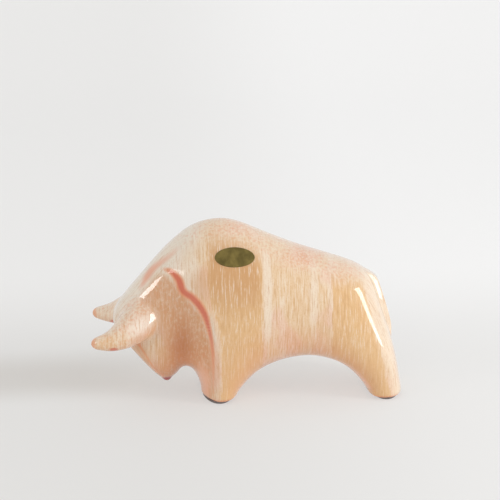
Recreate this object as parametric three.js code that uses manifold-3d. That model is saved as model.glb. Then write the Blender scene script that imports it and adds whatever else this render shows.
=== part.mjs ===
import * as THREE from 'three';
import { mergeVertices } from 'three/addons/utils/BufferGeometryUtils.js';
import Module from 'manifold-3d';

// A slip-cast ceramic bull with its head lowered, in millimetres.
// +X runs to the tail, -Y is the bull's left side, +Z is up and the floor is Z = 0.

// Driving dimensions of the body
const BODY_LENGTH = 245.5;
const BODY_HEIGHT = 150.5;
const BELLY_HEIGHT = 31.6;
const MUZZLE_WIDTH = 28;
const BROW_WIDTH = 52;
const POLL_WIDTH = 60;
const NECK_WIDTH = 74;
const WITHERS_WIDTH = 86;
const SHOULDER_WIDTH = 92;
const GIRTH_WIDTH = 90;
const BARREL_WIDTH = 84;
const LOIN_WIDTH = 80;
const HIP_WIDTH = 80;
const HOCK_WIDTH = 73;
const ELBOW_WIDTH = 87;
const SHIN_WIDTH = 77;
const FRONT_FOOT_WIDTH = 68;
const REAR_FOOT_WIDTH = 67;

// Clay wall, and the pour hole and drain hole in the soles
const WALL = 5;
const POUR_HOLE = 12;
const DRAIN_HOLE = 8;

// The raised shoulder line with the sunk cheek and neck panel inside it
const PANEL_DEPTH = 8.5;
const PANEL_REACH = 13;
const PANEL_EDGE = 2;
const PANEL_RISE = 16;
const PANEL_EVEN = 5;
const PANEL_CRISP = 7;
// How deep the panel starts at the brow, as a share of its depth, and the shares of the line over which
// it deepens from there and fades out at the foot
const LINE_START = 0.85;
const LINE_SHARE_TOP = 0.3;
const LINE_SHARE_FOOT = 0.1;

// The shallow groove that parts each pair of legs
const GROOVE_DEPTH = 7;
const GROOVE_WIDTH = 26;
const GROOVE_HEIGHT = 54;
const FRONT_LEG_SPAN = 22;
const GROOVE_SHARPNESS = 1.5;

// Horns: across both tips, from root to tip along the figure, diameters, height of the tips, and how far
// the roots lie above them
const HORN_SPREAD = 88;
const HORN_LENGTH = 53.5;
const HORN_ROOT = 38;
const HORN_TIP = 7.5;
const HORN_HEIGHT = 59;
const HORN_RISE = 16;

// Tail
const TAIL_WIDTH = 18;
const TAIL_RELIEF = 5;
const TAIL_TOP = 104;
const TAIL_END = 40;
const TAIL_SPACING = 6;

// Felt pads, foil label and the gap that pieces keep to each other
const PAD_THICKNESS = 2;
const PAD_INSET = 2;
const LABEL_LENGTH = 33;
const LABEL_HEIGHT = 17;
const LABEL_THICKNESS = 0.5;
const LABEL_X = -14.7;
const LABEL_Z = 128.5;
const LABEL_OUT = 31;
const LABEL_LEAN = 34;
const SEAT_GAP = 0.3;

const SOLE = PAD_THICKNESS + SEAT_GAP;

// The length over which widths that differ from rib to rib are evened out
const BLEND_LENGTH = 14;
// How much wider than its core line the form may swell, as a share of its width there
const SWELL_SHARE = 1.15;

// How finely the surfaces are drawn: ribs for each step of the walk, and rows from edge to core
const FINE = { ribs: 4, rows: 11 };
const COARSE = { ribs: 2, rows: 6 };
const HORN_FACETS = { steps: 20, sides: 16 };
const TAIL_FACETS = { steps: 18, sides: 14 };
const OVAL_SIDES = 32;
const HOLE_SIDES = 20;
const WELD = 1e-4;

// The core line, from muzzle to rear sole: x, height above the sole, half width, and how square the
// section is (2 is an ellipse)
const CORE = [
  [-76, 22, MUZZLE_WIDTH / 2, 2.7],
  [-87, 50, BROW_WIDTH / 2, 3],
  [-74, 78, POLL_WIDTH / 2, 2.6],
  [-56, 86, NECK_WIDTH / 2, 2.2],
  [-41, 85, WITHERS_WIDTH / 2, 2.1],
  [-28, 82, SHOULDER_WIDTH / 2, 2.1],
  [4, 86, GIRTH_WIDTH / 2, 2.1],
  [34, 82, BARREL_WIDTH / 2, 2.2],
  [62, 76, LOIN_WIDTH / 2, 2.2],
  [88, 64, HIP_WIDTH / 2, 2.6],
  [108, 30, HOCK_WIDTH / 2, 3.2],
  [114.5, 0, REAR_FOOT_WIDTH / 2, 3],
];
// The branch down the front legs, from the shoulder to the front sole
const BRANCH = [
  [-28, 82, SHOULDER_WIDTH / 2, 2.1],
  [-26, 48, ELBOW_WIDTH / 2, 2.2],
  [-26.5, 22, SHIN_WIDTH / 2, 2.3],
  [-27, 0, FRONT_FOOT_WIDTH / 2, 2.3],
];
// Stations of the core: the brow and the poll, where the branch leaves it, and where both end
const [BROW, POLL] = [1, 2];
const SHOULDER = CORE.findIndex(([x]) => x === BRANCH[0][0]);
const REAR_SOLE = CORE.length - 1;
const LEG_STEPS = BRANCH.length - 1;

// The outline seen from the side, front sole to rear sole over the back: station, x, height above the sole
const OUTLINE = [
  [-9, -43.3, 0],
  [-8, -43.9, 6.6],
  [-7.5, -45.3, 12.2],
  [-7, -48.3, 18.3],
  [-6.5, -51.6, 22.7],
  [-6, -55, 24.6],
  [-5, -57, 23.8],
  [-4, -58.8, 21.9],
  [-3, -60.8, 19],
  [-2, -63.6, 16],
  [-1, -67, 13.4],
  [-0.5, -71.2, 11.1],
  [0, -79, 15.5],
  [0.5, -91, 28.6],
  [1, -109.6, 51.2],
  [1.25, -114.6, 59.8],
  [1.5, -116, 68],
  [1.75, -113.2, 76.3],
  [2, -107, 84.8],
  [2.5, -94.3, 100.4],
  [3, -81.4, 115.7],
  [3.5, -68, 130],
  [4, -52.5, 142.9],
  [4.5, -38, 148.9],
  [5, -22.5, 150.4],
  [5.5, -8, 147.1],
  [6, 8, 139.9],
  [7, 36, 127.9],
  [8, 66, 117.6],
  [8.5, 82, 111.9],
  [9, 96, 105],
  [9.25, 101.8, 98],
  [9.5, 106, 87.3],
  [10, 120.6, 43.7],
  [11, 129.5, 0],
];
// Stations of the outline that fan out round the muzzle, before the core's own begin
const FAN = -OUTLINE[0][0] - SHOULDER - LEG_STEPS;
// The belly arch, from the front sole to the rear sole: station, x, height above the sole
const ARCH = [
  [-3, -11.5, 0],
  [-2, -8, 4.7],
  [-1, -1, 12],
  [0, 7.5, 19.5],
  [1, 20, 25.6],
  [2, 34, 29.7],
  [3, 52, 31],
  [4, 70, 27.5],
  [4.5, 81, 22],
  [5, 90.5, 13],
  [5.5, 96.5, 4.9],
  [6, 99, 0],
];
// The raised line over the neck and down the shoulder, seen from the side: x, height above the sole
const SHOULDER_LINE = [
  [-98, 84],
  [-90, 98],
  [-82, 109],
  [-72, 113],
  [-60, 105],
  [-49, 92],
  [-39, 79],
  [-34, 64],
  [-31.5, 44],
  [-31, 20],
  [-31, 0],
];

// The course of a horn from root to tip: share of the length, of the spread and of the rise
const HORN_COURSE = [
  [0, 0.1, 1],
  [0.2, 0.42, 0.82],
  [0.42, 0.7, 0.4],
  [0.68, 0.89, 0.08],
  [1, 1, 0],
];
// How late a horn thins, how much it draws in again towards its root and over which share of its length,
// and the shares of a horn and of the tail that their round ends take
const HORN_TAPER = 1.45;
const HORN_NECK = 0.15;
const HORN_NECK_SHARE = 0.5;
const HORN_ROUND_SHARE = 0.07;
const TAIL_ROUND_SHARE = 0.06;
// The tail: how far up the outline it is looked for, in stations and steps of one; the shares of its
// length over which it swells and tapers, and how much narrower it gets
const TAIL_STATIONS = 3;
const TAIL_STEP = 0.02;
const TAIL_SWELL_SHARES = [-0.15, 0.15];
const TAIL_TAPER_SHARES = [0.45, 1];
const TAIL_THIN_SHARE = 0.5;

const wasm = await Module();
wasm.setup();

const wide = (table, column) => {
  const values = table.map((row) => row[column]);
  return Math.max(...values) - Math.min(...values);
};
const lengthScale = BODY_LENGTH / wide(OUTLINE, 1);
const heightScale = BODY_HEIGHT / wide(OUTLINE, 2);
const archScale = BELLY_HEIGHT / wide(ARCH, 2);

// Value of a table at a position: a cubic between rows whose slopes are central differences
function along(table, position) {
  const last = table.length - 1;
  let i = 0;
  while (i < last - 1 && table[i + 1][0] <= position) i++;
  const slope = (k, c) => {
    const a = table[Math.max(k - 1, 0)];
    const b = table[Math.min(k + 1, last)];
    return (b[c] - a[c]) / (b[0] - a[0]);
  };
  const [p, q] = [table[i], table[i + 1]];
  const h = q[0] - p[0];
  const s = (position - p[0]) / h;
  return p.slice(1).map((value, n) => {
    const c = n + 1;
    const start = (2 * s ** 3 - 3 * s ** 2 + 1) * value + (s ** 3 - 2 * s ** 2 + s) * h * slope(i, c);
    const end = (3 * s ** 2 - 2 * s ** 3) * q[c] + (s ** 3 - s ** 2) * h * slope(i + 1, c);
    return start + end;
  });
}

const numbered = (rows) => rows.map((row, i) => [i, ...row]);
const coreAt = (t) => along(numbered(CORE), Math.max(t, 0));
const branchAt = (t) => along(numbered(BRANCH), t);

// Point of an outline moved inwards by the inset, square to the way it is walked
function edgeAt(table, position, walk, inset, scale) {
  const reach = 0.02;
  const at = (t) => {
    const [x, z] = along(table, t);
    return [x * lengthScale, z * scale];
  };
  const before = at(Math.max(position - reach, table[0][0]));
  const after = at(Math.min(position + reach, table[table.length - 1][0]));
  const [dx, dz] = [(after[0] - before[0]) * walk, (after[1] - before[1]) * walk];
  const length = Math.hypot(dx, dz);
  const [x, z] = at(position);
  const level = position === table[0][0] || position === table[table.length - 1][0];
  return [x + (inset * dz) / length, level ? z : z - (inset * dx) / length];
}

// Core point that a station of the walk round the outline leads to, the station counted in ribs
function coreFor(count, perStep) {
  const fan = -FAN * perStep;
  const shoulder = -(FAN + SHOULDER) * perStep;
  if (count >= 0) return coreAt(count / perStep);
  if (count > fan) return coreAt(0);
  if (count >= shoulder) return coreAt((fan - count) / perStep);
  return branchAt((shoulder - count) / perStep);
}

// The same for the walk under the belly
function coreUnder(count, perStep) {
  if (count < 0) return branchAt(-count / perStep);
  return coreAt((SHOULDER * perStep + count) / perStep);
}

// Two strips of ribs, over the back and under the belly, each rib an outline point and a core point
function ribs(detail, inset) {
  const perStep = detail.ribs;
  const walk = (from, to) => {
    const count = Math.abs(to - from) * perStep;
    return Array.from({ length: count + 1 }, (_, i) => from * perStep + Math.sign(to - from) * i);
  };
  const rib = (edge, [x, z, half, square]) => ({
    edge,
    core: [x * lengthScale, z * heightScale],
    half: half - inset,
    square,
  });
  const over = walk(-(FAN + SHOULDER + LEG_STEPS), REAR_SOLE).map((count) =>
    rib(edgeAt(OUTLINE, count / perStep, 1, inset, heightScale), coreFor(count, perStep)));
  const under = walk(REAR_SOLE - SHOULDER, -LEG_STEPS).map((count) =>
    rib(edgeAt(ARCH, count / perStep, -1, inset, archScale), coreUnder(count, perStep)));
  return [over, under];
}

// The flat plan of the form: points shared by touching ribs, and the strips as tables of point numbers
function plan(detail, inset) {
  const points = [];
  const known = new Map();
  const number = (x, z) => {
    const key = `${x.toFixed(4)} ${z.toFixed(4)}`;
    if (!known.has(key)) {
      known.set(key, points.length);
      points.push([x, z]);
    }
    return known.get(key);
  };
  const strips = ribs(detail, inset).map((strip) => strip.map(({ edge, core, half, square }) => {
    const row = [];
    for (let k = 0; k <= detail.rows; k++) {
      const share = k === detail.rows ? 0 : Math.cos((Math.PI / 2) * (k / detail.rows));
      row.push(number(core[0] + (edge[0] - core[0]) * share, core[1] + (edge[1] - core[1]) * share));
    }
    const reach = Math.hypot(edge[0] - core[0], edge[1] - core[1]);
    return { row, half, square, bulge: (half / reach) ** 2 };
  }));
  return { points, strips };
}

// Triangles of the plan, without those that have shrunk to a line
function planTriangles(strips) {
  const triangles = [];
  const add = (...t) => {
    if (new Set(t).size === 3) triangles.push(t);
  };
  for (const strip of strips) {
    for (let i = 0; i + 1 < strip.length; i++) {
      const [a, b] = [strip[i].row, strip[i + 1].row];
      for (let k = 0; k + 1 < a.length; k++) {
        add(a[k], b[k], b[k + 1]);
        add(a[k], b[k + 1], a[k + 1]);
      }
    }
  }
  return triangles;
}

// Area held by each point, and the slope operator of a sheet stretched over the plan
function sheet(points, triangles) {
  const area = new Float64Array(points.length);
  const own = new Float64Array(points.length);
  const links = [];
  for (const t of triangles) {
    const [p, q, r] = t.map((n) => points[n]);
    const twice = Math.abs((q[0] - p[0]) * (r[1] - p[1]) - (r[0] - p[0]) * (q[1] - p[1]));
    if (twice < 1e-6) continue;
    for (let k = 0; k < 3; k++) {
      const [c, a, b] = [t[k], t[(k + 1) % 3], t[(k + 2) % 3]];
      const [u, v] = [a, b].map((n) => [points[n][0] - points[c][0], points[n][1] - points[c][1]]);
      const weight = (u[0] * v[0] + u[1] * v[1]) / twice / 2;
      area[c] += twice / 6;
      own[a] += weight;
      own[b] += weight;
      links.push([a, b, weight]);
    }
  }
  const pull = (height) => {
    const out = height.map((value, n) => value * own[n]);
    for (const [a, b, weight] of links) {
      out[a] -= weight * height[b];
      out[b] -= weight * height[a];
    }
    return out;
  };
  return { area, own, pull };
}

// Solves pull(x) = load by conjugate gradients
function solve(pull, diagonal, load) {
  const dot = (a, b) => a.reduce((sum, value, n) => sum + value * b[n], 0);
  const x = new Float64Array(load.length);
  const left = Float64Array.from(load);
  let lean = left.map((value, n) => value / diagonal[n]);
  let step = Float64Array.from(lean);
  let size = dot(left, lean);
  const enough = size * 1e-16;
  for (let round = 0; round < 3000 && size > enough; round++) {
    const moved = pull(step);
    const share = size / dot(step, moved);
    for (let n = 0; n < x.length; n++) {
      x[n] += share * step[n];
      left[n] -= share * moved[n];
    }
    lean = left.map((value, n) => value / diagonal[n]);
    const next = dot(left, lean);
    step = step.map((value, n) => lean[n] + (next / size) * value);
    size = next;
  }
  return x;
}

// Values over the plan evened out over a length, as heat spreads
function evened({ area, own, pull }, values, length) {
  const load = values.map((value, n) => value * area[n]);
  const spread = (f) => {
    const bent = pull(f);
    return f.map((value, n) => value * area[n] + length ** 2 * bent[n]);
  };
  const diagonal = area.map((value, n) => value + length ** 2 * Math.abs(own[n]));
  return solve(spread, diagonal, load);
}

// A value of the ribs carried to their points, as the mean over the ribs that share one, and evened out
function carried(strips, skin, valueOf) {
  const sum = new Float64Array(skin.area.length);
  const count = new Float64Array(skin.area.length);
  for (const rib of strips.flat()) {
    for (const n of rib.row) {
      sum[n] += valueOf(rib);
      count[n] += 1;
    }
  }
  return evened(skin, sum.map((value, n) => value / count[n]), BLEND_LENGTH);
}

// Height of a superellipse of the given squareness where an ellipse has the given height
function squared(height, squareness) {
  const outward = Math.sqrt(Math.max(1 - height ** 2, 0));
  return (1 - outward ** squareness) ** (1 / squareness);
}

// Half width at every point of the plan: the square root of a sheet blown up from the fixed outline,
// set right so that it has the wanted half width on the core line, made as square as wanted, and sunk
// where the panel is
function halfWidths(points, strips) {
  const skin = sheet(points, planTriangles(strips));
  const fixed = new Set(strips.flat().map((rib) => rib.row[0]));
  const bulge = carried(strips, skin, (rib) => rib.bulge);
  const held = (f) => {
    const free = f.map((value, n) => (fixed.has(n) ? 0 : value));
    return skin.pull(free).map((value, n) => (fixed.has(n) ? f[n] : value));
  };
  const diagonal = skin.own.map((value, n) => (fixed.has(n) ? 1 : value));
  const load = bulge.map((value, n) => (fixed.has(n) ? 0 : value * skin.area[n]));
  const blown = solve(held, diagonal, load).map((value) => Math.sqrt(Math.max(2 * value, 0)));
  const wanted = carried(strips, skin, (rib) => rib.half);
  const core = (rib) => rib.row[rib.row.length - 1];
  const correction = carried(strips, skin, (rib) => wanted[core(rib)] / blown[core(rib)]);
  const square = carried(strips, skin, (rib) => rib.square);
  const sunk = panelSink(points, skin);
  return blown.map((value, n) => {
    if (fixed.has(n)) return 0;
    const share = (value * correction[n]) / wanted[n];
    const full = (wanted[n] * squared(share / SWELL_SHARE, square[n])) / squared(1 / SWELL_SHARE, square[n]);
    return full - sunk[n] * (1 - Math.exp(-full / PANEL_RISE));
  });
}

// The raised shoulder line as short steps, each with its distance from the start
const LINE_STEPS = 60;
const shoulderLine = Array.from({ length: LINE_STEPS + 1 }, (_, i) => {
  const position = (i / LINE_STEPS) * (SHOULDER_LINE.length - 1);
  const [x, z] = along(numbered(SHOULDER_LINE), position);
  return [x * lengthScale, z * heightScale];
});

// Nearest place on the shoulder line: how far off it is, whether the point lies inside, and how far
// along the line it is
function nearLine([x, z]) {
  let near = { distance: Infinity };
  for (let i = 0; i < LINE_STEPS; i++) {
    const [a, b] = [shoulderLine[i], shoulderLine[i + 1]];
    const [dx, dz] = [b[0] - a[0], b[1] - a[1]];
    const share = THREE.MathUtils.clamp(((x - a[0]) * dx + (z - a[1]) * dz) / (dx * dx + dz * dz), 0, 1);
    const [ox, oz] = [x - a[0] - dx * share, z - a[1] - dz * share];
    const distance = Math.hypot(ox, oz);
    if (distance < near.distance) {
      near = { distance, inside: ox * dz - oz * dx > 0, place: (i + share) / LINE_STEPS };
    }
  }
  return near;
}

// How far the cheek and neck panel is sunk: nothing outside the shoulder line, most at PANEL_REACH
// inside it, then dying away. Away from the line it is evened out, which leaves only the line crisp
function panelSink(points, skin) {
  const near = points.map(nearLine);
  const crisp = Float64Array.from(near, ({ distance, inside, place }) => {
    const depth = PANEL_EDGE * Math.log1p(Math.exp((inside ? distance : -distance) / PANEL_EDGE));
    const deeper = THREE.MathUtils.smoothstep(place, 0, LINE_SHARE_TOP);
    const fade = THREE.MathUtils.lerp(LINE_START, 1, deeper)
      * THREE.MathUtils.smoothstep(1 - place, -LINE_SHARE_FOOT, LINE_SHARE_FOOT);
    return PANEL_DEPTH * fade * (depth / PANEL_REACH) * Math.exp(1 - depth / PANEL_REACH);
  });
  const soft = evened(skin, evened(skin, crisp, PANEL_EVEN), PANEL_EVEN);
  return crisp.map((value, n) => {
    const close = Math.exp(-((near[n].distance / PANEL_CRISP) ** 2));
    return value * close + soft[n] * (1 - close);
  });
}

// How far the front of the front legs and the back of the rear legs are pressed in near the middle
function groovePress(x, y, z) {
  const across = Math.max(0, 1 - Math.abs(y) / (GROOVE_WIDTH / 2));
  const down = Math.max(0, 1 - z / GROOVE_HEIGHT);
  const press = GROOVE_DEPTH * across ** GROOVE_SHARPNESS * down;
  const frontCore = BRANCH[LEG_STEPS][0] * lengthScale;
  const rearCore = CORE[REAR_SOLE][0] * lengthScale;
  if (x < frontCore && x > frontCore - FRONT_LEG_SPAN) return press;
  return x > rearCore ? -press : 0;
}

// The whole form as a closed mesh: ribs carried from the left core line over the edge to the right one,
// with flat soles, moved inwards by the inset or outwards where it is negative
function formGeometry(detail, inset) {
  const { points, strips } = plan(detail, inset);
  const half = halfWidths(points, strips);
  const last = 2 * detail.rows;
  const positions = [];
  const index = [];
  const place = (n, side) => {
    const [x, z] = points[n];
    const y = side * half[n];
    positions.push(x + groovePress(x, y, z), y, z + SOLE);
  };
  let first = 0;
  for (const strip of strips) {
    for (const { row } of strip) {
      for (let k = -detail.rows; k <= detail.rows; k++) place(row[Math.abs(k)], k < 0 ? -1 : 1);
    }
    const at = (i, k) => first + i * (last + 1) + k;
    for (let i = 0; i + 1 < strip.length; i++) {
      for (let k = 0; k < last; k++) {
        index.push(at(i, k), at(i + 1, k), at(i + 1, k + 1));
        index.push(at(i, k), at(i + 1, k + 1), at(i, k + 1));
      }
    }
    for (let k = 0; k < detail.rows; k++) {
      const [a, b, c, d] = [k, k + 1, last - k, last - k - 1];
      index.push(at(0, a), at(0, b), at(0, c), at(0, b), at(0, d), at(0, c));
      const end = strip.length - 1;
      index.push(at(end, b), at(end, a), at(end, c), at(end, b), at(end, c), at(end, d));
    }
    first = positions.length / 3;
  }
  const geometry = new THREE.BufferGeometry();
  geometry.setAttribute('position', new THREE.Float32BufferAttribute(positions, 3));
  geometry.setIndex(index);
  return geometry;
}

// Joins equal corners of a geometry and leaves out triangles that have shrunk to a line
function welded(geometry) {
  const bare = geometry.clone();
  for (const name of Object.keys(bare.attributes)) if (name !== 'position') bare.deleteAttribute(name);
  const merged = mergeVertices(bare, WELD);
  const kept = [];
  for (let i = 0; i < merged.index.count; i += 3) {
    const t = [0, 1, 2].map((k) => merged.index.getX(i + k));
    if (new Set(t).size === 3) kept.push(...t);
  }
  merged.setIndex(kept);
  return merged;
}

function solid(geometry) {
  const merged = welded(geometry);
  return new wasm.Manifold(new wasm.Mesh({
    numProp: 3,
    vertProperties: Float32Array.from(merged.attributes.position.array),
    triVerts: Uint32Array.from(merged.index.array),
  }));
}

function geometryOf(body) {
  const { vertProperties, triVerts } = body.getMesh();
  const geometry = new THREE.BufferGeometry();
  geometry.setAttribute('position', new THREE.BufferAttribute(Float32Array.from(vertProperties), 3));
  geometry.setIndex(Array.from(triVerts));
  geometry.computeVertexNormals();
  return geometry;
}

// A lathe turned from a profile of radius against length, bent along a curve; across and out set how
// far it reaches each way, and the flat axis is the one that the width lies along
function bent(curve, radius, { steps, sides }, { across = 1, out = 1, flat }) {
  const profile = Array.from({ length: steps + 1 }, (_, i) => {
    const share = (1 - Math.cos((Math.PI * i) / steps)) / 2;
    return new THREE.Vector2(i === 0 || i === steps ? 0 : radius(share), share);
  });
  const lathe = new THREE.LatheGeometry(profile, sides);
  const position = lathe.attributes.position;
  for (let n = 0; n < position.count; n++) {
    const share = position.getY(n);
    const tangent = curve.getTangent(share);
    const up = new THREE.Vector3().crossVectors(tangent, flat).normalize();
    const side = new THREE.Vector3().crossVectors(tangent, up);
    const point = curve.getPoint(share)
      .addScaledVector(side, position.getX(n) * across)
      .addScaledVector(up, position.getZ(n) * out);
    position.setXYZ(n, point.x, point.y, point.z);
  }
  return lathe;
}

// How a round end closes: 1 along the course, then a quarter round over the last share of it
const rounded = (s, share) => Math.sqrt(1 - (1 - Math.min((1 - s) / share, 1)) ** 2);

const clay = (color, roughness) => new THREE.MeshStandardMaterial({ color, roughness, metalness: 0 });
const glazeCream = clay(0xe6c29c, 0.15);
const glazePink = clay(0xe2b090, 0.15);
const felt = clay(0x4a4a4c, 0.95);
const foil = new THREE.MeshStandardMaterial({ color: 0x8a7c46, roughness: 0.35, metalness: 0.9 });

const skin = solid(formGeometry(FINE, 0));
const seat = solid(formGeometry(FINE, -SEAT_GAP));

function block(width, depth, height, x, y, z) {
  const box = new THREE.BoxGeometry(width, depth, height);
  box.translate(x, y, z);
  return solid(box);
}

function pin(diameter, height, x, y, z) {
  const cylinder = new THREE.CylinderGeometry(diameter / 2, diameter / 2, height, HOLE_SIDES);
  cylinder.rotateX(Math.PI / 2);
  cylinder.translate(x, y, z);
  return solid(cylinder);
}

// The horns' course starts halfway between the brow and the poll
const hornRootX = ((CORE[BROW][0] + CORE[POLL][0]) / 2) * lengthScale;
const frontSoleX = BRANCH[LEG_STEPS][0] * lengthScale;
const rearSoleX = CORE[REAR_SOLE][0] * lengthScale;

// The cast shell: the form less its hollow, which stops a wall above the soles, with a hole in each sole
function castBody() {
  const room = 4 * BODY_LENGTH;
  const above = block(room, room, room, 0, 0, SOLE + WALL + room / 2);
  const hollow = solid(formGeometry(COARSE, WALL)).intersect(above);
  const depth = WALL * 3;
  const pour = pin(POUR_HOLE, depth, frontSoleX, 0, SOLE + WALL / 2);
  const drain = pin(DRAIN_HOLE, depth, rearSoleX, 0, SOLE + WALL / 2);
  return geometryOf(skin.subtract(hollow).subtract(pour).subtract(drain));
}

// One horn, out of the side of the brow and round to the front; its root is cut to sit on the head
function horn(side) {
  const tipY = HORN_SPREAD / 2 - HORN_TIP / 2;
  const course = HORN_COURSE.map(([forward, outward, lift]) => new THREE.Vector3(
    hornRootX - HORN_LENGTH * forward,
    side * tipY * outward,
    HORN_HEIGHT + HORN_RISE * lift,
  ));
  const curve = new THREE.CatmullRomCurve3(course);
  const radius = (s) => {
    const cone = THREE.MathUtils.lerp(HORN_ROOT / 2, HORN_TIP / 2, s ** HORN_TAPER);
    const neck = 1 - HORN_NECK * Math.max(0, 1 - s / HORN_NECK_SHARE) ** 2;
    return cone * neck * rounded(s, HORN_ROUND_SHARE);
  };
  const whole = solid(bent(curve, radius, HORN_FACETS, { flat: new THREE.Vector3(0, 0, 1) }));
  return geometryOf(whole.subtract(seat));
}

// The tail, a rib luted down the middle of the rump
function tail() {
  const course = [];
  for (let station = REAR_SOLE - TAIL_STATIONS; station <= REAR_SOLE; station += TAIL_STEP) {
    const [x, z] = edgeAt(OUTLINE, station, 1, 0, heightScale);
    const point = new THREE.Vector3(x, 0, z + SOLE);
    const apart = course.length === 0 || point.distanceTo(course[course.length - 1]) >= TAIL_SPACING;
    if (point.z <= TAIL_TOP && point.z >= TAIL_END && apart) course.push(point);
  }
  const curve = new THREE.CatmullRomCurve3(course);
  const radius = (s) => {
    const swell = THREE.MathUtils.smoothstep(s, ...TAIL_SWELL_SHARES);
    const taper = 1 - TAIL_THIN_SHARE * THREE.MathUtils.smoothstep(s, ...TAIL_TAPER_SHARES);
    return swell * taper * rounded(s, TAIL_ROUND_SHARE);
  };
  const section = { across: TAIL_WIDTH / 2, out: TAIL_RELIEF, flat: new THREE.Vector3(0, 1, 0) };
  return geometryOf(solid(bent(curve, radius, TAIL_FACETS, section)).subtract(seat));
}

// A felt pad under one pair of feet: an oval inside the edge of the sole
function pad(x, length, width) {
  const oval = new THREE.Shape();
  oval.absellipse(0, 0, length / 2 - PAD_INSET, width / 2 - PAD_INSET, 0, 2 * Math.PI);
  const geometry = new THREE.ExtrudeGeometry(oval, {
    depth: PAD_THICKNESS,
    bevelEnabled: false,
    curveSegments: OVAL_SIDES,
  });
  geometry.translate(x, 0, 0);
  return geometry;
}

// The oval foil label, laid on the left flank: a slice between two skins a foil's thickness apart
function label() {
  const oval = new THREE.CylinderGeometry(1, 1, SHOULDER_WIDTH, OVAL_SIDES);
  oval.scale(LABEL_LENGTH / 2, 1, LABEL_HEIGHT / 2);
  oval.translate(0, -SHOULDER_WIDTH / 2, 0);
  const lean = THREE.MathUtils.degToRad(LABEL_LEAN);
  oval.rotateX(-lean);
  oval.translate(LABEL_X, 0, LABEL_Z - LABEL_OUT * Math.tan(lean));
  const outer = solid(formGeometry(FINE, -SEAT_GAP - LABEL_THICKNESS));
  return geometryOf(solid(oval).intersect(outer).subtract(seat));
}

const bull = new THREE.Group();
function add(name, geometry, material) {
  const mesh = new THREE.Mesh(geometry, material);
  mesh.name = name;
  bull.add(mesh);
}

const soleLength = (table) => wide(table, 1) * lengthScale;
const frontSole = soleLength([OUTLINE[0], ARCH[0]]);
const rearSole = soleLength([OUTLINE[OUTLINE.length - 1], ARCH[ARCH.length - 1]]);
const middle = (a, b) => ((a[1] + b[1]) / 2) * lengthScale;

add('body_casting', castBody(), glazeCream);
add('left_horn', horn(-1), glazePink);
add('right_horn', horn(1), glazePink);
add('tail', tail(), glazeCream);
add('front_felt_pad', pad(middle(OUTLINE[0], ARCH[0]), frontSole, FRONT_FOOT_WIDTH), felt);
add(
  'rear_felt_pad',
  pad(middle(OUTLINE[OUTLINE.length - 1], ARCH[ARCH.length - 1]), rearSole, REAR_FOOT_WIDTH),
  felt,
);
add('foil_label', label(), foil);

// The origin is under the middle of the whole figure
const box = new THREE.Box3().setFromObject(bull);
bull.position.x = -(box.min.x + box.max.x) / 2;

export default bull;
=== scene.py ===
"""A glazed slip-cast bull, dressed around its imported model: fine form, glaze, felt and foil.

Shapes are worked out in millimetres in the maker's own frame, +X to the tail, -Y the bull's left and
+Z up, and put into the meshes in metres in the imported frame.
"""
import math

import bpy
import numpy as np
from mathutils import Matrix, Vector


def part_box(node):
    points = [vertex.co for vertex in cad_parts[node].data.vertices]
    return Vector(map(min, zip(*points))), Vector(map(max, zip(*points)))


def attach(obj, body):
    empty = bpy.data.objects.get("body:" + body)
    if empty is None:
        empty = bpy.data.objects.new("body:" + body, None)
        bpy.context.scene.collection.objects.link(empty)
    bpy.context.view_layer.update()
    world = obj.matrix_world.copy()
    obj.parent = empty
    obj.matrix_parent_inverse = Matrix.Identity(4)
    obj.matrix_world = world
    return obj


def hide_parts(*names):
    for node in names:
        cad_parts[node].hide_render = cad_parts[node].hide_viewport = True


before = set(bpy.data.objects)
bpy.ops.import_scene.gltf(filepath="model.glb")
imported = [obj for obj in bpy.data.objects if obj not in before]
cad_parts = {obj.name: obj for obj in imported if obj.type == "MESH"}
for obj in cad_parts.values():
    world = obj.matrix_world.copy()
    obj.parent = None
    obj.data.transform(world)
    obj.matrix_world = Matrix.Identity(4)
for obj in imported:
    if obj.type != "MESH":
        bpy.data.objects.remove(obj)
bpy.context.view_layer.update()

# Sizes of the figure, in millimetres: height of the soles over the floor, then the body's widths
SOLE = 2.3
MUZZLE_WIDTH = 28
BROW_WIDTH = 52
POLL_WIDTH = 60
NECK_WIDTH = 74
WITHERS_WIDTH = 86
SHOULDER_WIDTH = 92
GIRTH_WIDTH = 90
BARREL_WIDTH = 84
LOIN_WIDTH = 80
HIP_WIDTH = 80
HOCK_WIDTH = 73
ELBOW_WIDTH = 87
SHIN_WIDTH = 77
FRONT_FOOT_WIDTH = 68
REAR_FOOT_WIDTH = 67
FOOT_ROUND = 3.0

# The bead of glaze under the chin: its place from above, its size, its red skin, the chin's bounds
DROP_PLACE = (-71.2, -7.0)
DROP_RADIUS = 4.0
DROP_LENGTH = 1.6
DROP_RED_RADIUS = 4.6
DROP_RED_OUT = 2.5
DROP_RED_TOP = 19
CHIN_TOP = 20
CHIN_BACK = -60

# The cheek and neck panel: how deep and how wide it is sunk, and how soft its edges are
PANEL_DEPTH = 8.5
PANEL_REACH = 13
PANEL_EDGE = 1.6
PANEL_RISE = 16
PANEL_EVEN = 5
PANEL_CRISP = 7
PANEL_START = 0.85

# The groove between the legs of a pair
GROOVE_DEPTH = 7
GROOVE_WIDTH = 26
GROOVE_HEIGHT = 54
FRONT_LEG_SPAN = 22

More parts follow.
